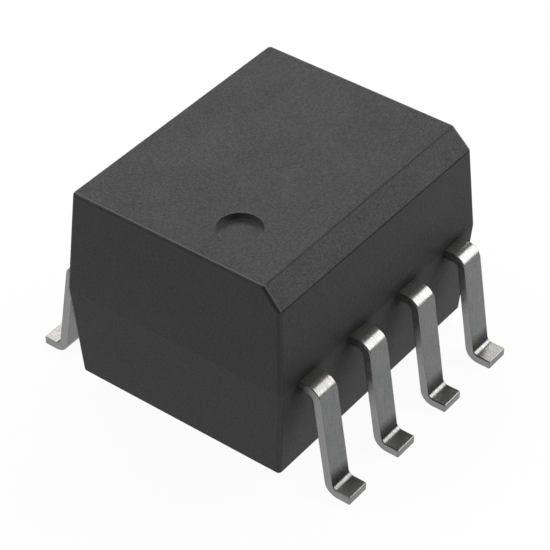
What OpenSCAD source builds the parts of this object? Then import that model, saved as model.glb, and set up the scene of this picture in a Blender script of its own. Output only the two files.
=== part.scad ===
// Small-outline optocoupler with eight gull-wing leads.
// A light-emitting chip hangs under a raised pad and shines through clear silicone
// onto a detector chip that sits on a lowered pad. Black epoxy is moulded round it all.
// Millimetres, +Z up. The feet stand on z = 0, and the origin lies under the middle of the body.
// Leads 1 to 4 run along the -Y side from -X to +X, and leads 5 to 8 come back along the +Y side.

/* [Body] */
// From the middle of an outermost lead to the end of the body, at the parting line
end_margin = 0.64; // [0.45:0.01:1]
// Width of the body at its parting line, from one row of leads to the other
body_width = 4.12; // [3.9:0.01:5]
// Height of the top face above the board
body_top = 3.79; // [3.2:0.01:4.4]
// Gap between the board and the body's underside
standoff = 0.23; // [0.1:0.01:0.4]
// Height at which the two halves of the mould meet, level with the leads' upper faces
parting_height = 1.97; // [1.8:0.01:2.2]
// Height of the upright band along the parting line
parting_band = 0.02; // [0.01:0.01:0.05]
// Draft of the moulded faces, up and down from the parting line, in degrees
draft = 3.7; // [1:0.1:6]
// Rounding of the upright edges
corner_radius = 0.07; // [0.05:0.01:0.15]
// Rounding of the edges round the top and the underside, up to that of the upright edges
edge_radius = 0.05; // [0.03:0.01:0.15]

/* [Pin 1 marks] */
// Width of the chamfer along the leads 1 to 4, across the top face
chamfer_across = 0.3; // [0.15:0.01:0.5]
// Height of that chamfer, down the side
chamfer_down = 0.33; // [0.15:0.01:0.5]
// Diameter of the round dimple beside lead 1
dimple_diameter = 0.72; // [0.4:0.01:1]
// Depth of the dimple
dimple_depth = 0.1; // [0.03:0.01:0.2]
// From the end of the body to the middle of the dimple
dimple_from_end = 0.97; // [0.8:0.01:1.4]
// From the side of the body to the middle of the dimple
dimple_from_side = 1.49; // [1.2:0.01:1.8]

/* [Leads] */
// Distance from one lead to the next
lead_pitch = 1.27; // [1.2:0.01:1.3]
// Width of a lead
lead_width = 0.44; // [0.3:0.01:0.5]
// Thickness of the lead frame
lead_thickness = 0.15; // [0.1:0.01:0.2]
// From the side of the body to the first bend of a lead
shoulder_length = 0.16; // [0.05:0.01:0.4]
// Length of the flat sole of a foot
foot_flat = 0.23; // [0.15:0.01:0.3]
// Lean of the legs from upright, in degrees
leg_lean = 8.8; // [0:0.1:12]
// Inner radius of the bends
bend_radius = 0.1; // [0.05:0.01:0.12]

/* [Lead frame inside the body] */
// Height of the emitter's pad above the leads
emitter_rise = 0.62; // [0.5:0.01:0.8]
// Depth of the detector's pad below the leads
detector_drop = 0.55; // [0.45:0.01:0.75]
// Slope of the ramps between the leads and the pads, in degrees
ramp_slope = 60; // [50:1:75]
// Rim of the emitter's pad around its chip
emitter_rim = 0.28; // [0.15:0.01:0.3]
// Rim of the detector's pad around its chip
detector_rim = 0.14; // [0.12:0.01:0.2]
// Gap between a pad and the lead that is wired to it
pad_gap = 0.18; // [0.12:0.01:0.2]
// Width of the anchor paddle on an unconnected lead
anchor_width = 0.62; // [0.5:0.01:0.7]
// Length of the anchor paddle
anchor_length = 0.5; // [0.4:0.01:0.6]
// Depth of the anchor paddle inside the body's side
anchor_depth = 0.2; // [0.1:0.01:0.3]
// Diameter of the hole that locks a paddle or an arm in the epoxy
anchor_hole = 0.22; // [0.1:0.01:0.25]

/* [Chips and guide] */
// Side of the square light-emitting chip
emitter_side = 0.3; // [0.2:0.01:0.4]
// Thickness of the light-emitting chip
emitter_thickness = 0.15; // [0.1:0.01:0.2]
// Length of the detector chip, along the body
detector_length = 1.12; // [1:0.01:1.2]
// Width of the detector chip
detector_width = 0.86; // [0.8:0.01:0.95]
// Thickness of the detector chip
detector_thickness = 0.25; // [0.15:0.01:0.3]
// Thickness of the bond under each chip
bond_thickness = 0.02; // [0.01:0.01:0.03]
// Fillet of bond that shows around each chip
bond_rim = 0.03; // [0.02:0.01:0.06]
// Silicone outside the outermost wire
guide_rim = 0.1; // [0.08:0.01:0.15]
// Radius of the hollow curve down the silicone's side
guide_curve = 1.5; // [1:0.1:4]
// Height of the upright band at each end of that curve
guide_band = 0.06; // [0.03:0.01:0.1]

/* [Bond wires] */
// Diameter of the wire
wire_diameter = 0.03; // [0.025:0.005:0.05]
// Diameter of the flattened ball on a chip and of the stitch on a lead
bond_diameter = 0.08; // [0.06:0.01:0.1]
// Height of the flattened ball
ball_height = 0.02; // [0.015:0.005:0.03]
// Height of the flattened stitch
stitch_height = 0.012; // [0.01:0.001:0.02]
// Straight rise of the wire before its loop
loop_rise = 0.06; // [0.04:0.01:0.08]
// Radius of the loop
loop_radius = 0.07; // [0.05:0.01:0.09]
// From the edge of the detector chip to its bond balls
ball_inset = 0.1; // [0.08:0.01:0.15]
// From the end of a lead to its stitch
stitch_inset = 0.13; // [0.08:0.01:0.18]

/* [Hidden] */

EPOXY = [0.13, 0.13, 0.13];
TIN = [0.7, 0.7, 0.68];
SILICONE = [0.9, 0.92, 0.9];
CHIP = [0.32, 0.33, 0.38];
EMITTER = [0.55, 0.3, 0.25];
DIE_BOND = [0.6, 0.6, 0.62];
GOLD = [0.85, 0.68, 0.3];

$fn = 48;
hull_fn = 24;

// The body reaches past the outermost of the four leads in a row
body_length = 3 * lead_pitch + 2 * end_margin;

// Levels of the lead frame: the middle of the sheet, and the faces that carry the chips
lead_level = parting_height - lead_thickness / 2;
emitter_level = lead_level + emitter_rise;
detector_level = lead_level - detector_drop;
emitter_pad_face = emitter_level - lead_thickness / 2;
detector_pad_face = detector_level + lead_thickness / 2;
emitter_face = emitter_pad_face - bond_thickness - emitter_thickness;
detector_face = detector_pad_face + bond_thickness + detector_thickness;

// Bends of the gull wings, along the middle of the sheet
bend_middle = bend_radius + lead_thickness / 2;
leg_turn = 90 - leg_lean;
leg_length = straight_between(lead_level - lead_thickness / 2, leg_turn);
shoulder_end = body_width / 2 + shoulder_length;

// Pads, in the middle of the body
emitter_pad = emitter_side + 2 * emitter_rim;
detector_pad = [detector_length + 2 * detector_rim, detector_width + 2 * detector_rim];
arm_end = detector_pad.x / 2 + pad_gap;

// Ends of the leads that are wired to a pad, from the middle of the body
anode_end = emitter_pad / 2 + pad_gap;
finger_end = detector_pad.y / 2 + pad_gap;

// Wires: where each leaves its chip and where it is stitched
emitter_ball = [0, 0];
anode_stitch = [lead_x(2), -anode_end - stitch_inset];
ball_x = detector_length / 2 - ball_inset;
ball_y = detector_width / 2 - ball_inset;
output_stitch = [lead_x(6), finger_end + stitch_inset];
enable_stitch = [lead_x(7), finger_end + stitch_inset];
supply_stitch = [-arm_end - stitch_inset, 0];
ground_stitch = [arm_end + stitch_inset, 0];

// Silicone between the pads, which covers every wire
guide_radius = max([
    for (stitch = [anode_stitch, output_stitch, enable_stitch, supply_stitch, ground_stitch])
        norm(stitch) + bond_diameter / 2
]) + guide_rim;
guide_height = emitter_pad_face - detector_pad_face;

// Place of a lead along the body
function lead_x(lead) = (lead <= 4 ? lead - 2.5 : 6.5 - lead) * lead_pitch;

// Straight part of a strip that bends up by turn degrees, gains a height and bends back
function straight_between(height, turn) =
    (height - 2 * bend_middle * (1 - cos(turn))) / sin(turn);

// Distance that such a strip covers
function run_between(straight, turn) = straight * cos(turn) + 2 * bend_middle * sin(turn);

// Steps of a strip from a point inside the body to the tip of its foot
function gull_wing(from) = [
    [shoulder_end - from, -leg_turn],
    [leg_length, leg_turn],
    [foot_flat, 0]
];

// Steps of a strip that starts level with a pad, above or below the leads
function set_lead(from, rise) =
    let (
        way = sign(rise),
        straight = straight_between(abs(rise), ramp_slope),
        run = run_between(straight, ramp_slope)
    )
    concat(
        [[guide_radius - from, -way * ramp_slope], [straight, way * ramp_slope]],
        gull_wing(guide_radius + run)
    );

// Strip of the lead frame that runs along +X from the origin.
// Each step is a straight length and the turn that follows it, up where it is positive.
module formed_strip(steps, step = 0) {
    length = steps[step][0];
    turn = steps[step][1];
    way = sign(turn);
    translate([0, -lead_width / 2, -lead_thickness / 2])
        cube([length, lead_width, lead_thickness]);
    if (turn != 0)
        translate([length, 0, way * bend_middle]) {
            mirror([0, 0, way < 0 ? 1 : 0])
                bend(abs(turn));
            rotate([0, -turn, 0])
                translate([0, 0, -way * bend_middle])
                    formed_strip(steps, step + 1);
        }
}

// Bend of the strip round the Y axis, from straight below the axis
module bend(turn) {
    rotate([90, 0, 0])
        rotate([0, 0, -90])
            rotate_extrude(angle = turn)
                translate([bend_radius, -lead_width / 2])
                    square([lead_thickness, lead_width]);
}

// Lead at its place, made from the middle of the body outwards
module lead_strip(lead, from, level, steps) {
    translate([lead_x(lead), 0, level])
        rotate([0, 0, lead <= 4 ? -90 : 90])
            translate([from, 0, 0])
                formed_strip(steps);
}

// Flat part of the lead frame, from its outline
module flat_part(level) {
    translate([0, 0, level])
        linear_extrude(lead_thickness, center = true)
            children();
}

// Unconnected lead, held in the epoxy by a paddle with a hole
module anchored_lead(lead) {
    outer = body_width / 2 - anchor_depth;
    inner = outer - anchor_length;
    difference() {
        union() {
            lead_strip(lead, inner, lead_level, gull_wing(inner));
            flat_part(lead_level)
                translate([lead_x(lead) - anchor_width / 2, -outer])
                    square([anchor_width, anchor_length]);
        }
        locking_hole([lead_x(lead), -(inner + outer) / 2], lead_level);
    }
}

module locking_hole(place, level) {
    translate([place.x, place.y, level - lead_thickness])
        cylinder(d = anchor_hole, h = 2 * lead_thickness);
}

// Lead that ends in a finger beside a pad
module finger_lead(lead, end, rise) {
    lead_strip(lead, end, lead_level + rise, set_lead(end, rise));
}

module lead_1_unconnected() {
    color(TIN) anchored_lead(1);
}

module lead_2_anode() {
    color(TIN) finger_lead(2, anode_end, emitter_rise);
}

// The emitter's pad reaches across from lead 3 to the middle of the body
module lead_3_cathode() {
    color(TIN) {
        finger_lead(3, 0, emitter_rise);
        flat_part(emitter_level)
            translate([-emitter_pad / 2, -emitter_pad / 2])
                square([emitter_pad / 2 + lead_x(3) + lead_width / 2, emitter_pad]);
    }
}

module lead_4_unconnected() {
    color(TIN) anchored_lead(4);
}

// An arm joins the detector's pad to lead 5
module lead_5_ground() {
    color(TIN)
        difference() {
            union() {
                finger_lead(5, -lead_width / 2, -detector_drop);
                flat_part(detector_level) {
                    square(detector_pad, center = true);
                    translate([0, -lead_width / 2])
                        square([lead_x(5) + lead_width / 2, lead_width]);
                }
            }
            locking_hole([(lead_x(5) + guide_radius) / 2, 0], detector_level);
        }
}

module lead_6_output() {
    color(TIN) finger_lead(6, finger_end, -detector_drop);
}

module lead_7_enable() {
    color(TIN) finger_lead(7, finger_end, -detector_drop);
}

// An arm brings lead 8 to the end of the detector's pad
module lead_8_supply() {
    color(TIN)
        difference() {
            union() {
                finger_lead(8, -lead_width / 2, -detector_drop);
                flat_part(detector_level)
                    translate([lead_x(8) - lead_width / 2, -lead_width / 2])
                        square([-arm_end - lead_x(8) + lead_width / 2, lead_width]);
            }
            locking_hole([(lead_x(8) - guide_radius) / 2, 0], detector_level);
        }
}

module emitter_die() {
    color(EMITTER)
        translate([-emitter_side / 2, -emitter_side / 2, emitter_face])
            cube([emitter_side, emitter_side, emitter_thickness]);
}

module emitter_bond() {
    side = emitter_side + 2 * bond_rim;
    color(DIE_BOND)
        translate([-side / 2, -side / 2, emitter_pad_face - bond_thickness])
            cube([side, side, bond_thickness]);
}

module detector_die() {
    color(CHIP)
        translate([-detector_length / 2, -detector_width / 2, detector_face - detector_thickness])
            cube([detector_length, detector_width, detector_thickness]);
}

module detector_bond() {
    length = detector_length + 2 * bond_rim;
    width = detector_width + 2 * bond_rim;
    color(DIE_BOND)
        translate([-length / 2, -width / 2, detector_pad_face])
            cube([length, width, bond_thickness]);
}

// Wire from a ball on a chip over a round loop down to a stitch on the lead frame.
// The chip's face is z = 0, and the lead frame's face lies drop below it.
module bond_wire(ball, stitch, drop) {
    way = stitch - ball;
    reach = norm(way);
    to_stitch = [reach - loop_radius, -drop - loop_rise];
    distance = norm(to_stitch);
    turn = 180 - atan2(to_stitch.y, to_stitch.x) - acos(loop_radius / distance);
    slope_length = sqrt(distance * distance - loop_radius * loop_radius);
    overrun = wire_diameter / tan(turn - 90);
    translate([ball.x, ball.y, 0])
        rotate([0, 0, atan2(way.y, way.x)])
            difference() {
                union() {
                    cylinder(d = bond_diameter, h = ball_height);
                    cylinder(d = wire_diameter, h = loop_rise);
                    translate([loop_radius, 0, loop_rise]) {
                        mirror([1, 0, 0])
                            rotate([90, 0, 0])
                                rotate_extrude(angle = turn)
                                    translate([loop_radius, 0])
                                        circle(d = wire_diameter);
                        rotate([0, turn, 0])
                            translate([-loop_radius, 0, 0])
                                cylinder(d = wire_diameter, h = slope_length + overrun);
                    }
                    translate([reach, 0, -drop])
                        cylinder(d = bond_diameter, h = stitch_height);
                }
                translate([0, -bond_diameter, -drop - bond_diameter])
                    cube([2 * reach, 2 * bond_diameter, bond_diameter]);
            }
}

module detector_wire(ball, stitch) {
    translate([0, 0, detector_face])
        bond_wire(ball, stitch, detector_face - detector_pad_face);
}

module emitter_wire() {
    color(GOLD)
        translate([0, 0, emitter_face])
            mirror([0, 0, 1])
                bond_wire(emitter_ball, anode_stitch, emitter_pad_face - emitter_face);
}

module ground_wire() {
    color(GOLD) detector_wire([ball_x, 0], ground_stitch);
}

module output_wire() {
    color(GOLD) detector_wire([ball_x, ball_y], output_stitch);
}

module enable_wire() {
    color(GOLD) detector_wire([-ball_x, ball_y], enable_stitch);
}

module supply_wire() {
    color(GOLD) detector_wire([-ball_x, 0], supply_stitch);
}

// Round body of silicone, drawn in between the pads
module guide_form() {
    half_curve = guide_height / 2 - guide_band;
    curve_middle = guide_radius + sqrt(guide_curve * guide_curve - half_curve * half_curve);
    translate([0, 0, detector_pad_face])
        rotate_extrude()
            difference() {
                square([guide_radius, guide_height]);
                translate([curve_middle, guide_height / 2])
                    circle(guide_curve);
            }
}

module light_guide() {
    color(SILICONE)
        difference() {
            guide_form();
            emitter_die();
            emitter_bond();
            emitter_wire();
            detector_die();
            detector_bond();
            ground_wire();
            output_wire();
            enable_wire();
            supply_wire();
        }
}

// How far the draft draws the faces in at a height
function drawn_in(height) = (abs(height - parting_height) - parting_band / 2) * tan(draft);

// Middle of the rounding that touches two faces of a section which meet at a corner
function rounding_middle(corner, normal_a, normal_b, radius) =
    corner - radius * (normal_a + normal_b) / (1 + normal_a * normal_b);

// Ring that rounds an upright edge and the edges which meet it at its end
module corner_ring(fillet) {
    rotate_extrude($fn = hull_fn)
        intersection() {
            translate([corner_radius - fillet, 0])
                circle(fillet, $fn = hull_fn);
            translate([0, -fillet])
                square([corner_radius, 2 * fillet]);
        }
}

// Drafted block, widest at its parting line, with the chamfer along leads 1 to 4.
// Its section across the body gives the middles of the roundings.
module moulded_form() {
    half_width = body_width / 2;
    fillet = min(edge_radius, corner_radius);
    chamfer_low = body_top - chamfer_down;
    top_edge = [half_width - drawn_in(body_top), body_top];
    bottom_edge = [half_width - drawn_in(standoff), standoff];
    side_edge = [half_width - drawn_in(chamfer_low), chamfer_low];
    chamfer_edge = [top_edge.x - chamfer_across, body_top];
    up = [0, 1];
    side_up = [cos(draft), sin(draft)];
    chamfer_way = chamfer_edge - side_edge;
    chamfer_normal = [chamfer_way.y, -chamfer_way.x] / norm(chamfer_way);
    hull()
        for (x = [-1, 1]) {
            for (y = [-1, 1]) {
                translate([
                    x * (body_length / 2 - corner_radius),
                    y * (half_width - corner_radius),
                    parting_height - parting_band / 2
                ])
                    cylinder(r = corner_radius, h = parting_band, $fn = hull_fn);
                moulded_corner(x, y, fillet,
                    rounding_middle(bottom_edge, -up, [side_up.x, -side_up.y], fillet));
            }
            moulded_corner(x, 1, fillet, rounding_middle(top_edge, up, side_up, fillet));
            moulded_corner(x, -1, fillet,
                rounding_middle(side_edge, side_up, chamfer_normal, fillet));
            moulded_corner(x, -1, fillet,
                rounding_middle(chamfer_edge, chamfer_normal, up, fillet));
        }
}

// Corner of the block at one end and side, from the middle of the rounding in the cross-section
module moulded_corner(x, y, fillet, middle) {
    inset = corner_radius - fillet;
    end_face = body_length / 2 - drawn_in(middle.y);
    translate([x * (end_face - fillet / cos(draft) - inset), y * (middle.x - inset), middle.y])
        corner_ring(fillet);
}

// The chamfer and the dimple tell where lead 1 is
module dimple() {
    translate([
        -body_length / 2 + dimple_from_end,
        -body_width / 2 + dimple_from_side,
        body_top - dimple_depth
    ])
        cylinder(d = dimple_diameter, h = 2 * dimple_depth);
}

module outer_moulding() {
    color(EPOXY)
        difference() {
            moulded_form();
            dimple();
            guide_form();
            lead_1_unconnected();
            lead_2_anode();
            lead_3_cathode();
            lead_4_unconnected();
            lead_5_ground();
            lead_6_output();
            lead_7_enable();
            lead_8_supply();
        }
}

outer_moulding();
light_guide();
lead_1_unconnected();
lead_2_anode();
lead_3_cathode();
lead_4_unconnected();
lead_5_ground();
lead_6_output();
lead_7_enable();
lead_8_supply();
emitter_die();
emitter_bond();
emitter_wire();
detector_die();
detector_bond();
ground_wire();
output_wire();
enable_wire();
supply_wire();
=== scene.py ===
"""Looks of the eight-lead optocoupler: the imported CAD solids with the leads' edges broken, procedural
materials, a pale studio floor, soft lamps and the photograph's camera. All lengths are in metres."""

import math

import bpy
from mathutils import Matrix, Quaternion, Vector


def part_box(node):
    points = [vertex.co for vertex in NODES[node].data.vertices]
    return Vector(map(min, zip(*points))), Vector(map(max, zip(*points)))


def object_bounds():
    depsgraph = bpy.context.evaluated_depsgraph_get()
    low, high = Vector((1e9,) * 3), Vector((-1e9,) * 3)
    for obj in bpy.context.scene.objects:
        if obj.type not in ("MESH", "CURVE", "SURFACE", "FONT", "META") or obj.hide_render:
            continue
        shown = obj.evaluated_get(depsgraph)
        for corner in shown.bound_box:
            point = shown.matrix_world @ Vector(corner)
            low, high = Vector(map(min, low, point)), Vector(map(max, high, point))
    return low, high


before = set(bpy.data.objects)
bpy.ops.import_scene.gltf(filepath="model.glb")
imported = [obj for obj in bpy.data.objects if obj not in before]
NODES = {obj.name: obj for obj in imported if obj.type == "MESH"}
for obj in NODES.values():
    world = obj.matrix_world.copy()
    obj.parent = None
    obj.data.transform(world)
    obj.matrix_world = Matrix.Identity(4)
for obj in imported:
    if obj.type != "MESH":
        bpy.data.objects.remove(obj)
cad_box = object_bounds()

MM = 0.001
ALONG = (1, 0, 0)
ACROSS = (0, 1, 0)
UP = (0, 0, 1)

SCENE = bpy.context.scene
LEADS = sorted(name for name in NODES if name.startswith("lead_"))
WIRES = sorted(name for name in NODES if name.endswith("_wire"))

# Sizes from the frame
BODY_LOW, BODY_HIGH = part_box("outer_moulding")
BODY_SIZE = BODY_HIGH - BODY_LOW
REACH = (cad_box[1] - cad_box[0]).length / 2
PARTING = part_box(LEADS[0])[1].z

# Sizes of the part's source that no box gives
DRAFT = math.radians(3.7)
CHAMFER_ACROSS = 0.30 * MM
CHAMFER_DOWN = 0.33 * MM
DIMPLE_RADIUS = 0.36 * MM
DIMPLE_DEPTH = 0.1 * MM
DIMPLE_FROM_END = 0.97 * MM
DIMPLE_FROM_SIDE = 1.49 * MM
LEAD_THICKNESS = 0.15 * MM

SIDE_NORMAL = Vector((0.0, -math.cos(DRAFT), math.sin(DRAFT)))
CHAMFER_NORMAL = Vector((0.0, -CHAMFER_DOWN, CHAMFER_ACROSS)).normalized()
DIMPLE = Vector((BODY_LOW.x + DIMPLE_FROM_END, BODY_LOW.y + DIMPLE_FROM_SIDE, BODY_HIGH.z))
# About the height at which the fillet above a foot becomes the leg
FILLET_TOP = 0.24 * MM


# Node trees

class Tree:
    """A node tree, with short calls for what its nodes need."""

    def __init__(self, tree):
        self.tree = tree

    def add(self, kind, **settings):
        node = self.tree.nodes.new(kind)
        for key, value in settings.items():
            setattr(node, key, value)
        return node

    def link(self, source, target):
        self.tree.links.new(source, target)

    def math(self, operation, first, second=0.0):
        """Result of an operation on numbers or sockets."""
        node = self.add("ShaderNodeMath", operation=operation)
        for socket, value in zip(node.inputs, (first, second)):
            if isinstance(value, (int, float)):
                socket.default_value = value
            else:
                self.link(value, socket)
        return node.outputs["Value"]

    def product(self, first, *others):
        for other in others:
            first = self.math("MULTIPLY", first, other)
        return first


class Graph(Tree):
    """The nodes of a material."""

    def __init__(self, name):
        self.material = bpy.data.materials.new(name)
        self.material.use_nodes = True
        super().__init__(self.material.node_tree)
        self.tree.nodes.clear()
        self.out = self.add("ShaderNodeOutputMaterial")

    def place(self, scale=(1, 1, 1)):
        """Object coordinates, each times its scale."""
        coords = self.add("ShaderNodeTexCoord")
        mapping = self.add("ShaderNodeMapping", vector_type="POINT")
        mapping.inputs["Scale"].default_value = scale
        self.link(coords.outputs["Object"], mapping.inputs["Vector"])
        return mapping.outputs["Vector"]

    def normal(self):
        return self.add("ShaderNodeNewGeometry").outputs["Normal"]

    def along(self, vector, direction):
        """How far vector goes along direction."""
        node = self.add("ShaderNodeVectorMath", operation="DOT_PRODUCT")
        self.link(vector, node.inputs[0])
        node.inputs[1].default_value = direction
        return node.outputs["Value"]

    def distance(self, vector, point):
        node = self.add("ShaderNodeVectorMath", operation="DISTANCE")
        self.link(vector, node.inputs[0])
        node.inputs[1].default_value = point
        return node.outputs["Value"]

    def height(self):
        """Height above the board."""
        return self.along(self.place(), UP)

    def facing(self, direction):
        """1 where the surface faces direction, 0 where it lies along it, -1 where it faces away."""
        return self.along(self.normal(), direction)

    def facing_either(self, direction):
        """As facing, where a surface that faces the other way counts as well."""
        return self.math("ABSOLUTE", self.facing(direction))

    def spread(self, value, low, high, to_low, to_high):
        """Value, where low becomes to_low and high becomes to_high, and held there beyond them."""
        node = self.add("ShaderNodeMapRange")
        node.inputs["From Min"].default_value = low
        node.inputs["From Max"].default_value = high
        node.inputs["To Min"].default_value = to_low
        node.inputs["To Max"].default_value = to_high
        self.link(value, node.inputs["Value"])
        return node.outputs["Result"]

    def rise(self, value, low, high):
        """0 up to low, 1 from high on."""
        return self.spread(value, low, high, 0.0, 1.0)

    def fall(self, value, low, high):
        """1 up to low, 0 from high on."""
        return self.spread(value, low, high, 1.0, 0.0)

    def noise(self, vector, scale, detail=2.0, roughness=0.5):
        node = self.add("ShaderNodeTexNoise")
        node.inputs["Scale"].default_value = scale
        node.inputs["Detail"].default_value = detail
        node.inputs["Roughness"].default_value = roughness
        self.link(vector, node.inputs["Vector"])
        return node.outputs["Fac"]

    def blend(self, factor, first, second):
        """Colour between first and second, each a colour or a socket."""
        node = self.add("ShaderNodeMix", data_type="RGBA")
        self.link(factor, node.inputs["Factor"])
        colours = [socket for socket in node.inputs if socket.type == "RGBA"]
        for socket, value in zip(colours, (first, second)):
            if isinstance(value, tuple):
                socket.default_value = (*value, 1.0)
            else:
                self.link(value, socket)
        return next(socket for socket in node.outputs if socket.type == "RGBA")

    def bump(self, height, distance, strength, normal=None):
        node = self.add("ShaderNodeBump")
        node.inputs["Distance"].default_value = distance
        node.inputs["Strength"].default_value = strength
        self.link(height, node.inputs["Height"])
        if normal is not None:
            self.link(normal, node.inputs["Normal"])
        return node.outputs["Normal"]

    def principled(self, **constants):
        """Inputs of the material's shader, with the constants set."""
        node = self.add("ShaderNodeBsdfPrincipled")
        for key, value in constants.items():
            node.inputs[key.replace("_", " ")].default_value = value
        self.link(node.outputs["BSDF"], self.out.inputs["Surface"])
        return node.inputs


# Black epoxy

def grey(level):
    return (level, level, level)


# The darker and the lighter specks of each face, then the places that differ
SIDE_GREYS = grey(0.004), grey(0.009)
# The upper ends and the top are painted lighter than the sides, as light falling there
UPPER_END_GREYS = grey(0.011), grey(0.021)
TOP_GREYS = grey(0.002), grey(0.029)
# Painted shade, by the leads and along the chamfer's edges
PAINTED_SHADE_GREY = grey(0.002)
# Painted highlights on the edges of the ends
UPRIGHT_HIGHLIGHT_GREY = grey(0.034)
END_EDGE_HIGHLIGHT_GREY = grey(0.090)
# Painted light in the dimple
DIMPLE_LIGHT_GREY = grey(0.085)
EPOXY_GRAIN_DEPTH = 0.005 * MM
# Added to the roughness at full painted shade
PAINTED_SHADE_ROUGHNESS = 0.4
# Painted light in the dimple: its reach over the floor, and the depths over which it grows down the wall
DIMPLE_LIGHT_REACH = 0.09 * MM
DIMPLE_LIGHT_EDGE = 0.01 * MM
DIMPLE_LIGHT_BELOW_RIM = 0.01 * MM, 0.03 * MM
DIMPLE_LIGHT_DOWN_WALL = 0.055 * MM, 0.095 * MM
WALL_LIGHT = 0.75
# Half the width over which the tone changes at the parting line
PARTING_BLUR = 0.02 * MM
# Reach and strength of the painted shade around a lead, close to it and further off
NEAR_SHADE = 0.38 * MM, 0.82
FAR_SHADE = 0.9 * MM, 0.15


def black_epoxy():
    """Moulded epoxy from a spark-eroded cavity: near black, with a coarser grain on the top than on the
    walls. Its top and its ends above the parting line are painted lighter, as light falling there.
    Painted highlights lie on the edges of the ends and painted light in the dimple. Painted shade darkens
    it by the leads and along the chamfer's edges."""
    g = Graph("black_epoxy")
    grain = g.noise(g.place(), scale=32000, detail=2.0, roughness=0.6)
    cloud = g.noise(g.place(), scale=1400, detail=3.0)
    tone = g.math("ADD", g.product(grain, 0.7), g.product(cloud, 0.3))
    speck = g.rise(tone, 0.32, 0.68)
    upward = g.rise(g.facing(UP), 0.3, 0.6)
    # Painted light: the upper ends and the top get lighter greys than the sides
    walls = g.blend(upper_ends(g), g.blend(speck, *SIDE_GREYS), g.blend(speck, *UPPER_END_GREYS))
    clean = g.blend(upward, walls, g.blend(speck, *TOP_GREYS))
    # Painted shade: dark lines along the chamfer's edges and a dark patch around each lead
    painted_shade = g.math("MAXIMUM", chamfer_shade_lines(g), painted_lead_shade(g))
    shaded_epoxy = g.blend(painted_shade, clean, PAINTED_SHADE_GREY)
    # Painted highlights: lighter greys on the upright edges and on the edges between top and ends
    highlighted_epoxy = g.blend(upright_edge_highlight(g), shaded_epoxy, UPRIGHT_HIGHLIGHT_GREY)
    highlighted_epoxy = g.blend(g.product(upward, end_edge_highlight(g)), highlighted_epoxy, END_EDGE_HIGHLIGHT_GREY)
    sockets = g.principled(Specular_IOR_Level=0.33)
    # Painted light: a lighter grey in the dimple's corner and up its wall
    g.link(g.blend(painted_dimple_light(g), highlighted_epoxy, DIMPLE_LIGHT_GREY), sockets["Base Color"])
    matt = g.spread(grain, 0.3, 0.7, 0.60, 0.50)
    g.link(g.math("ADD", matt, g.product(painted_shade, PAINTED_SHADE_ROUGHNESS)), sockets["Roughness"])
    g.link(g.bump(grain, EPOXY_GRAIN_DEPTH, strength=1.0), sockets["Normal"])
    return g.material


def upper_ends(g):
    """1 on the two end walls above the parting line, 0 elsewhere."""
    ends = g.rise(g.facing_either(ALONG), 0.7, 0.9)
    return g.product(ends, g.rise(g.height(), PARTING - PARTING_BLUR, PARTING + PARTING_BLUR))


def upright_edge_highlight(g):
    """Strength of the painted highlight: 1 on the upright edges of the moulding, 0 on its faces and its
    top.
    """
    endward = g.facing_either(ALONG)
    turn = g.math("MINIMUM", g.rise(endward, 0.2, 0.45), g.fall(endward, 0.85, 0.97))
    return g.product(turn, g.fall(g.facing(UP), 0.2, 0.5))


def end_edge_highlight(g):
    """Strength of the painted highlight: 1 where a level face begins to turn towards an end, 0 elsewhere.
    """
    endward = g.facing_either(ALONG)
    return g.math("MINIMUM", g.rise(endward, 0.03, 0.15), g.fall(endward, 0.25, 0.6))


def painted_dimple_light(g):
    """Strength of the painted light: 1 in the corner around the dimple's floor, fading over the floor and
    up the wall, 0 elsewhere.
    """
    radius = g.distance(g.place((1, 1, 0)), (DIMPLE.x, DIMPLE.y, 0))
    depth = g.math("SUBTRACT", DIMPLE.z, g.height())
    inside = g.product(g.math("LESS_THAN", radius, DIMPLE_RADIUS + DIMPLE_LIGHT_EDGE),
                       g.math("LESS_THAN", depth, 1.5 * DIMPLE_DEPTH))
    corner = g.rise(radius, DIMPLE_RADIUS - DIMPLE_LIGHT_REACH, DIMPLE_RADIUS - DIMPLE_LIGHT_EDGE)
    wall = g.spread(depth, *DIMPLE_LIGHT_DOWN_WALL, WALL_LIGHT, 1.0)
    below_rim = g.rise(depth, *DIMPLE_LIGHT_BELOW_RIM)
    return g.product(corner, inside, g.math("MINIMUM", wall, below_rim))


def chamfer_shade_lines(g):
    """Strength of the painted shade along each edge of the chamfer, more on the lower one, and 0
    elsewhere.
    """
    lower = g.facing((CHAMFER_NORMAL + SIDE_NORMAL).normalized())
    upper = g.facing((CHAMFER_NORMAL + Vector(UP)).normalized())
    return g.math("MAXIMUM", g.spread(lower, 0.955, 0.985, 0.0, 0.5),
                  g.spread(upper, 0.93, 0.97, 0.0, 0.22))


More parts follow.
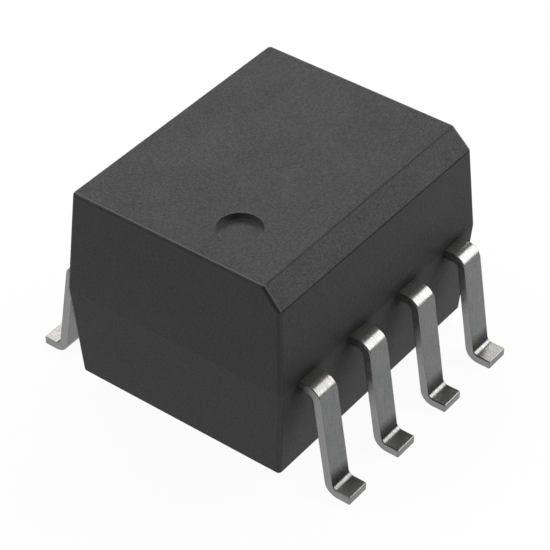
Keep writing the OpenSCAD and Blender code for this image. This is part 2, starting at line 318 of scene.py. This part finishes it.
def painted_lead_shade(g):
    """Strength of the painted shade on the long sides, most where a lead leaves them and less around it.
    The distance to the nearest lead is folded along the pitch, from leads 7 and 6."""
    first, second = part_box("lead_7_enable"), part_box("lead_6_output")
    pitch = second[0].x - first[0].x
    half_width = (first[1].x - first[0].x) / 2
    level = first[1].z - LEAD_THICKNESS / 2
    along = g.math("SUBTRACT", g.along(g.place(), ALONG), first[0].x + half_width)
    beside = g.math("SUBTRACT", g.math("PINGPONG", along, pitch / 2), half_width)
    beside = g.math("MAXIMUM", beside, 0.0)
    above = g.math("ABSOLUTE", g.math("SUBTRACT", g.height(), level))
    above = g.math("MAXIMUM", g.math("SUBTRACT", above, LEAD_THICKNESS / 2), 0.0)
    gap = g.math("SQRT", g.math("ADD", g.product(beside, beside), g.product(above, above)))
    near = g.spread(gap, 0.0, NEAR_SHADE[0], NEAR_SHADE[1], 0.0)
    far = g.spread(gap, 0.0, FAR_SHADE[0], FAR_SHADE[1], 0.0)
    sideward = g.rise(g.facing_either(ACROSS), 0.3, 0.6)
    return g.product(g.math("MAXIMUM", g.product(near, near), far), sideward)


# Tinned leads

# The darker and the lighter patches of the tin, in its dull and in its keen grain
DULL_TIN = (0.117, 0.121, 0.120), (0.128, 0.131, 0.129)
KEEN_TIN = (0.176, 0.181, 0.178), (0.188, 0.192, 0.188)
# Soiled film on the feet, also painted lighter as light
SOILED_AND_LIT_TIN = (0.170, 0.167, 0.158), (0.270, 0.265, 0.250)
# Painted highlight on the bends
BEND_HIGHLIGHT_TIN = (0.200, 0.198, 0.191)
# Sheared faces: partly the sheared metal, partly painted light
SHEARED_AND_LIT_METAL = (0.240, 0.243, 0.241)
# Painted shade in the corner above each foot
CORNER_SHADE_COLOUR = (0.016, 0.017, 0.016)
TIN_GRAIN_DEPTH = 0.002 * MM
DRAWN_ROUGHNESS = 0.24, 0.36
# Added to the roughness under the film on a foot
FILM_ROUGHNESS = 0.07
# Depths below the parting line between which the bend's painted highlight sets in
BEND_BELOW = 0.3 * MM, 0.2 * MM


def tinned_lead():
    """Matt tin over stamped copper alloy: drawn streaks along the strip and a crystalline grain. A
    painted highlight lightens the bends, the sheared faces and a soiled film on the feet are lighter
    partly as painted light, and painted shade darkens the corner above each foot."""
    g = Graph("tinned_lead")
    streak = g.noise(g.place((1.0, 0.12, 0.12)), scale=36000, detail=2.0, roughness=0.6)
    hair = g.noise(g.place((1.0, 0.08, 0.08)), scale=75000, detail=2.0, roughness=0.6)
    grain = g.noise(g.place(), scale=40000, detail=2.0, roughness=0.6)
    patch = g.rise(g.noise(g.place(), scale=4200, detail=2.0), 0.3, 0.7)
    tone = g.math("ADD", g.product(grain, 0.6), g.product(streak, 0.4))
    bare = g.blend(g.rise(tone, 0.36, 0.64), g.blend(patch, *DULL_TIN), g.blend(patch, *KEEN_TIN))
    # Painted highlight: a lighter tin on the shoulders and bends
    highlighted_tin = g.blend(painted_bend_highlight(g), bare, BEND_HIGHLIGHT_TIN)
    # Lighter sheared faces: partly the sheared metal, partly painted light
    stamped = g.blend(sheared_and_lit_faces(g), highlighted_tin, SHEARED_AND_LIT_METAL)
    film = foot_film_and_light(g)
    # On the feet: a soiled film, also painted lighter as light
    coated_and_lit = g.blend(film, stamped, g.blend(g.rise(grain, 0.36, 0.64), *SOILED_AND_LIT_TIN))
    sockets = g.principled(Metallic=0.9)
    # Painted shade: a dark colour in the corner above each foot
    g.link(g.blend(painted_corner_shade(g), coated_and_lit, CORNER_SHADE_COLOUR), sockets["Base Color"])
    drawn = g.spread(hair, 0.35, 0.65, *DRAWN_ROUGHNESS)
    g.link(g.math("ADD", drawn, g.product(film, FILM_ROUGHNESS)), sockets["Roughness"])
    streaked = g.bump(streak, TIN_GRAIN_DEPTH, strength=0.12)
    g.link(g.bump(grain, TIN_GRAIN_DEPTH, strength=0.05, normal=streaked), sockets["Normal"])
    return g.material


def painted_bend_highlight(g):
    """Strength of the painted highlight: 1 on the shoulder and the outside of the bend below it, 0
    elsewhere.
    """
    high = g.rise(g.height(), PARTING - BEND_BELOW[0], PARTING - BEND_BELOW[1])
    return g.product(high, g.rise(g.facing(UP), 0.2, 0.5))


def foot_film_and_light(g):
    """1 on the flat top of a foot, 0 elsewhere, where a soiled film is also painted lighter as light."""
    low = g.fall(g.height(), 0.7 * FILLET_TOP, 0.85 * FILLET_TOP)
    return g.product(low, g.rise(g.facing(UP), 0.9, 0.99))


def sheared_and_lit_faces(g):
    """1 on the stamped sides of the strip, less on the cut end of a foot, 0 elsewhere. Their lighter tone
    is partly the sheared metal and partly painted light.
    """
    sides = g.rise(g.facing_either(ALONG), 0.55, 0.85)
    end = g.spread(g.facing_either(ACROSS), 0.55, 0.85, 0.0, 0.25)
    low = g.fall(g.height(), 0.62 * FILLET_TOP, 0.7 * FILLET_TOP)
    return g.math("MAXIMUM", sides, g.product(end, low))


def painted_corner_shade(g):
    """Strength of the painted shade: 1 in the outer corner between leg and foot, fading up the leg and
    into the foot's top.
    """
    up_leg = g.fall(g.height(), 1.25 * FILLET_TOP, 2.0 * FILLET_TOP)
    off_foot = g.rise(g.height(), 0.73 * FILLET_TOP, 0.88 * FILLET_TOP)
    on_face = g.fall(g.facing_either(ALONG), 0.2, 0.6)
    row = g.math("SIGN", g.along(g.place(), ACROSS))
    outward = g.rise(g.product(g.facing(ACROSS), row), -0.1, 0.2)
    return g.product(g.math("MINIMUM", up_leg, off_foot), on_face, outward)


# Pieces inside

def clear_silicone():
    """Light guide over the chips: clear, very slightly yellow, with a faint haze."""
    g = Graph("clear_silicone")
    haze = g.noise(g.place(), scale=2600, detail=3.0)
    sockets = g.principled(IOR=1.41, Transmission_Weight=1.0)
    g.link(g.blend(haze, (0.96, 0.95, 0.90), (0.88, 0.87, 0.80)), sockets["Base Color"])
    g.link(g.spread(haze, 0.3, 0.7, 0.04, 0.12), sockets["Roughness"])
    return g.material


def chip(name, dark, pale, scale):
    """Diced semiconductor: dark polished crystal with fine rectangular structures on it."""
    g = Graph(name)
    cells = g.add("ShaderNodeTexVoronoi", feature="F1", distance="CHEBYCHEV")
    cells.inputs["Scale"].default_value = scale
    g.link(g.place(), cells.inputs["Vector"])
    off_middle = cells.outputs["Distance"]
    sockets = g.principled(Metallic=0.35)
    g.link(g.blend(g.rise(off_middle, 0.15, 0.5), dark, pale), sockets["Base Color"])
    g.link(g.spread(off_middle, 0.1, 0.5, 0.16, 0.32), sockets["Roughness"])
    return g.material


def emitter_chip():
    return chip("emitter_chip", dark=(0.10, 0.07, 0.06), pale=(0.20, 0.16, 0.12), scale=9000)


def detector_chip():
    return chip("detector_chip", dark=(0.07, 0.09, 0.13), pale=(0.16, 0.20, 0.26), scale=12000)


def die_bond():
    """Silver-filled adhesive squeezed out under a chip."""
    g = Graph("die_bond")
    flake = g.noise(g.place(), scale=60000, detail=2.0)
    sockets = g.principled(Metallic=0.8)
    g.link(g.blend(flake, (0.42, 0.41, 0.39), (0.72, 0.71, 0.69)), sockets["Base Color"])
    g.link(g.spread(flake, 0.3, 0.7, 0.35, 0.6), sockets["Roughness"])
    g.link(g.bump(flake, 0.003 * MM, strength=0.5), sockets["Normal"])
    return g.material


def gold_wire():
    """Drawn gold bond wire, with faint draw marks."""
    g = Graph("gold_wire")
    draw = g.noise(g.place(), scale=90000, detail=1.0)
    sockets = g.principled(Metallic=1.0)
    g.link(g.blend(draw, (0.86, 0.60, 0.22), (0.95, 0.70, 0.30)), sockets["Base Color"])
    g.link(g.spread(draw, 0.3, 0.7, 0.15, 0.28), sockets["Roughness"])
    return g.material


# Dressing the CAD nodes

# The modifiers work on an enlarged mesh, because their limits suit metres rather than microns
ENLARGE = 1000.0
SHARP = math.radians(35)
FLAT = math.radians(0.6)
JOIN_DISTANCE = 0.0002 * MM
LEAD_EDGE = 0.02 * MM
LEAD_EDGE_STEPS = 3
# Half the width of an arm, and a little more
ARM_SIDE = 0.3 * MM


class Forming(Tree):
    """A geometry node group for a modifier, whose chained nodes change the mesh in turn."""

    def __init__(self, name):
        super().__init__(bpy.data.node_groups.new(name, "GeometryNodeTree"))
        for way in ("INPUT", "OUTPUT"):
            self.tree.interface.new_socket("Geometry", in_out=way, socket_type="NodeSocketGeometry")
        self.mesh = self.add("NodeGroupInput").outputs[0]

    def chain(self, kind, **settings):
        node = self.add(kind, **settings)
        self.link(self.mesh, node.inputs["Geometry"])
        self.mesh = node.outputs["Geometry"]
        return node.inputs

    def sharp(self):
        """1 on each edge whose faces meet at more than SHARP, 0 on the others."""
        angle = self.add("GeometryNodeInputMeshEdgeAngle").outputs["Unsigned Angle"]
        return self.math("GREATER_THAN", angle, SHARP)

    def done(self):
        self.link(self.mesh, self.add("NodeGroupOutput").inputs[0])
        return self.tree


def resized(name, factor):
    """Shades a mesh smooth and scales it."""
    group = Forming(name)
    group.chain("GeometryNodeSetShadeSmooth")
    group.chain("GeometryNodeTransform")["Scale"].default_value = (factor, factor, factor)
    return group.done()


def far_edges(name, least):
    """Marks for the bevel each sharp edge that reaches further than least across from the middle."""
    group = Forming(name)
    ends = group.add("GeometryNodeInputMeshEdgeVertices").outputs
    reach = []
    for end in ("Position 1", "Position 2"):
        split = group.add("ShaderNodeSeparateXYZ")
        group.link(ends[end], split.inputs["Vector"])
        reach.append(group.math("ABSOLUTE", split.outputs["Y"]))
    far = group.math("GREATER_THAN", group.math("MAXIMUM", *reach), least * ENLARGE)
    mark = group.chain("GeometryNodeStoreNamedAttribute", data_type="FLOAT", domain="EDGE")
    mark["Name"].default_value = "bevel_weight_edge"
    group.link(group.product(group.sharp(), far), mark["Value"])
    return group.done()


def creased(name):
    """Keeps the shading of the faces apart at each sharp edge."""
    group = Forming(name)
    shade = group.chain("GeometryNodeSetShadeSmooth", domain="EDGE")
    group.link(group.sharp(), shade["Selection"])
    shade["Shade Smooth"].default_value = False
    return group.done()


ENLARGED = resized("enlarged", ENLARGE)
TRUE_SIZE = resized("true_size", 1 / ENLARGE)
CREASED = creased("sharp_edges")
# The bevel stays clear of the locking holes: a paddle's is inside the body, an arm's along its middle
PAST_PADDLE = far_edges("past_paddle", BODY_SIZE.y / 2)
PAST_ARM = far_edges("past_arm", ARM_SIDE)


def dress(name, material, broken=None):
    """Gives a CAD node its material, joins its faces, and breaks the edges that the given group marks."""
    node = NODES[name]
    node.data.materials.clear()
    node.data.materials.append(material)
    node.modifiers.new("enlarge", "NODES").node_group = ENLARGED
    weld = node.modifiers.new("join_faces", "WELD")
    weld.merge_threshold = JOIN_DISTANCE * ENLARGE
    flat = node.modifiers.new("flat_faces", "DECIMATE")
    flat.decimate_type = "DISSOLVE"
    flat.angle_limit = FLAT
    if broken:
        node.modifiers.new("mark_edges", "NODES").node_group = broken
        bevel = node.modifiers.new("broken_edges", "BEVEL")
        bevel.width = LEAD_EDGE * ENLARGE
        bevel.segments = LEAD_EDGE_STEPS
        bevel.limit_method = "WEIGHT"
    node.modifiers.new("creases", "NODES").node_group = CREASED
    smooth = node.modifiers.new("even_shading", "WEIGHTED_NORMAL")
    smooth.keep_sharp = True
    node.modifiers.new("true_size", "NODES").node_group = TRUE_SIZE


epoxy = black_epoxy()
tin = tinned_lead()
bond = die_bond()
gold = gold_wire()
dress("outer_moulding", epoxy)
dress("light_guide", clear_silicone())
for lead in LEADS:
    dress(lead, tin, PAST_PADDLE if lead.endswith("unconnected") else PAST_ARM)
dress("emitter_die", emitter_chip())
dress("detector_die", detector_chip())
for name in ("emitter_bond", "detector_bond"):
    dress(name, bond)
for wire in WIRES:
    dress(wire, gold)


# Stage: floor, light and camera

FLOOR_SIDE = 160 * REACH
# Just under the soles, so that no face lies in the floor
FLOOR_DROP = 0.002 * MM
FLOOR_GREY = 0.5
PALE_FLOOR = 0.95
WHITE_SHARE = 0.95
WORLD_LEVEL = 0.19
LAMP_DISTANCE = 90 * MM
SENSOR_WIDTH = 36.0
IMAGE_WIDTH = 550


def diffuse(g, level):
    node = g.add("ShaderNodeBsdfDiffuse")
    node.inputs["Color"].default_value = (*grey(level), 1.0)
    return node.outputs["BSDF"]


def mixed(g, factor, first, second):
    """Shader between first and second, by a number or a socket."""
    node = g.add("ShaderNodeMixShader")
    if isinstance(factor, float):
        node.inputs["Fac"].default_value = factor
    else:
        g.link(factor, node.inputs["Fac"])
    g.link(first, node.inputs[1])
    g.link(second, node.inputs[2])
    return node.outputs["Shader"]


def floor_material():
    """Pale floor, near white to the camera and in reflections, which keeps a soft shadow.
    From below it can be seen through."""
    g = Graph("studio_floor")
    path = g.add("ShaderNodeLightPath").outputs
    seen = g.math("MAXIMUM", path["Is Camera Ray"], path["Is Glossy Ray"])
    seen = g.math("MAXIMUM", seen, path["Is Transmission Ray"])
    white = g.add("ShaderNodeEmission").outputs["Emission"]
    backdrop = mixed(g, WHITE_SHARE, diffuse(g, PALE_FLOOR), white)
    above = mixed(g, seen, diffuse(g, FLOOR_GREY), backdrop)
    clear = g.add("ShaderNodeBsdfTransparent").outputs["BSDF"]
    underneath = g.add("ShaderNodeNewGeometry").outputs["Backfacing"]
    g.link(mixed(g, underneath, above, clear), g.out.inputs["Surface"])
    g.material.cycles.emission_sampling = "NONE"
    return g.material


def make_floor():
    half = FLOOR_SIDE / 2
    corners = [(-half, -half, 0), (half, -half, 0), (half, half, 0), (-half, half, 0)]
    mesh = bpy.data.meshes.new("studio_floor")
    mesh.from_pydata(corners, [], [(0, 1, 2, 3)])
    mesh.materials.append(floor_material())
    floor = bpy.data.objects.new("studio_floor", mesh)
    SCENE.collection.objects.link(floor)
    floor.location.z = cad_box[0].z - FLOOR_DROP


def make_world():
    world = bpy.data.worlds.new("studio")
    world.use_nodes = True
    background = world.node_tree.nodes["Background"]
    background.inputs["Color"].default_value = (*grey(1.0), 1.0)
    background.inputs["Strength"].default_value = WORLD_LEVEL
    SCENE.world = world


def stand_off(holder, target, azimuth, elevation, distance, roll=0.0):
    """Adds an object to the scene, off a target and turned to look there.
    Azimuth 0 is at -Y and 90 at +X."""
    a, e = math.radians(azimuth), math.radians(elevation)
    away = Vector((math.sin(a) * math.cos(e), -math.cos(a) * math.cos(e), math.sin(e)))
    SCENE.collection.objects.link(holder)
    holder.location = target + away * distance
    holder.rotation_mode = "QUATERNION"
    turn = Quaternion(UP, math.radians(roll))
    holder.rotation_quaternion = (-away).to_track_quat("-Z", "Y") @ turn


def make_softbox(name, azimuth, elevation, width, height, radiance, roll=0.0):
    """An area lamp aimed at the part, whose power goes with its area and the given radiance."""
    lamp = bpy.data.lights.new(name, "AREA")
    lamp.shape = "RECTANGLE"
    lamp.size, lamp.size_y = width, height
    lamp.energy = radiance * math.pi * width * height
    middle = Vector((0, 0, BODY_SIZE.z / 2))
    stand_off(bpy.data.objects.new(name, lamp), middle, azimuth, elevation, LAMP_DISTANCE, roll)


def make_camera(azimuth, elevation, target, distance, focal_pixels):
    """The photograph's camera, unshifted, with its focal length given in pixels of the image's width."""
    data = bpy.data.cameras.new("camera")
    data.sensor_width = SENSOR_WIDTH
    data.lens = focal_pixels * SENSOR_WIDTH / IMAGE_WIDTH
    data.clip_start = 0.1 * REACH
    data.clip_end = 1000 * REACH
    camera = bpy.data.objects.new("camera", data)
    stand_off(camera, target, azimuth, elevation, distance)
    SCENE.camera = camera


SCENE.view_settings.view_transform = "Standard"
make_floor()
make_world()
make_softbox("key", azimuth=53, elevation=31, width=28 * MM, height=75 * MM, radiance=9.0, roll=-40)
make_softbox("back", azimuth=135, elevation=45, width=57 * MM, height=56 * MM, radiance=4.5)
make_softbox("left", azimuth=222, elevation=42, width=60 * MM, height=60 * MM, radiance=3.2)
make_camera(azimuth=-52.7712, elevation=40.0318, target=Vector((-0.0355, -0.0413, 1.6021)) * MM,
            distance=37.0294 * MM, focal_pixels=2361.264)
